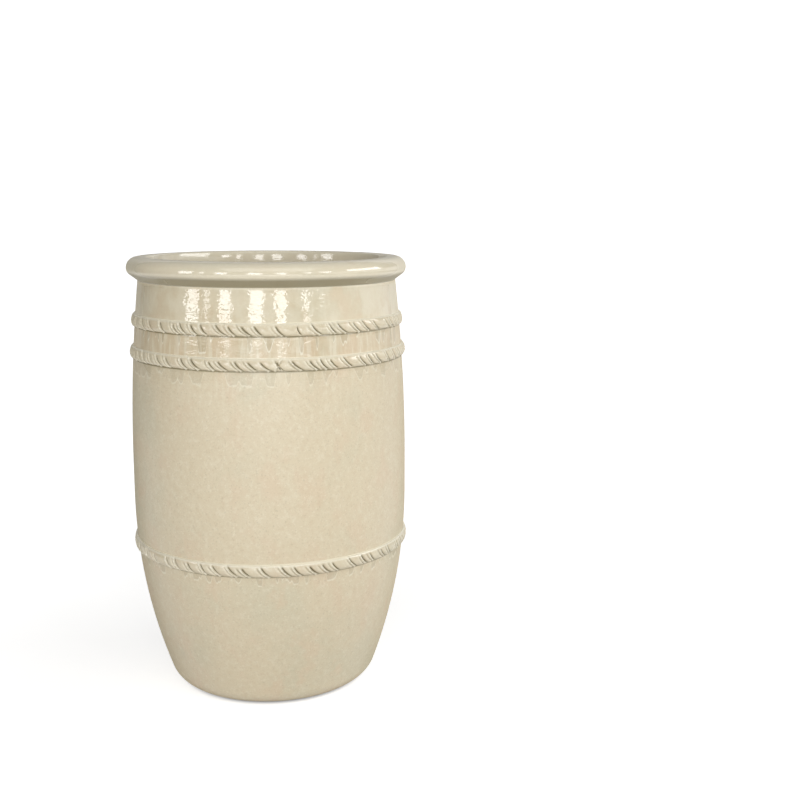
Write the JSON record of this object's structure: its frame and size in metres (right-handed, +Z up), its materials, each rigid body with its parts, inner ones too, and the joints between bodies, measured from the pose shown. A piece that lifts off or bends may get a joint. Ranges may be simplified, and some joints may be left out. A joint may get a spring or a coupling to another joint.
{
  "type": "ceramic pot",
  "caption": "Tall barrel-shaped glazed ceramic pot with a thick rolled rim, rope bands laid round the wall, a ring foot and a drain hole in the floor.",
  "frame": {"origin": "centre of the foot, on the ground", "axes": "+Z up along the pot's axis; -Y is roughly the side the picture was taken from"},
  "size_m": [0.526, 0.526, 0.815],
  "materials": {
    "glazed_wall": "cream glaze, glossy at the neck, fine-speckled on the drum",
    "glazed_rim": "glossy cream glaze",
    "glazed_rope": "glossy cream glaze, darker where it pools in the tool marks",
    "bare_clay": "unglazed fired stoneware"
  },
  "bodies": {
    "root": {"base_slab": "bare_clay", "floor_coil": "bare_clay", "lower_wall": "glazed_wall", "middle_wall": "glazed_wall", "neck_wall": "glazed_wall", "rim_roll": "glazed_rim", "lower_rope": "glazed_rope", "middle_rope": "glazed_rope", "upper_rope": "glazed_rope"}
  },
  "joints": []
}
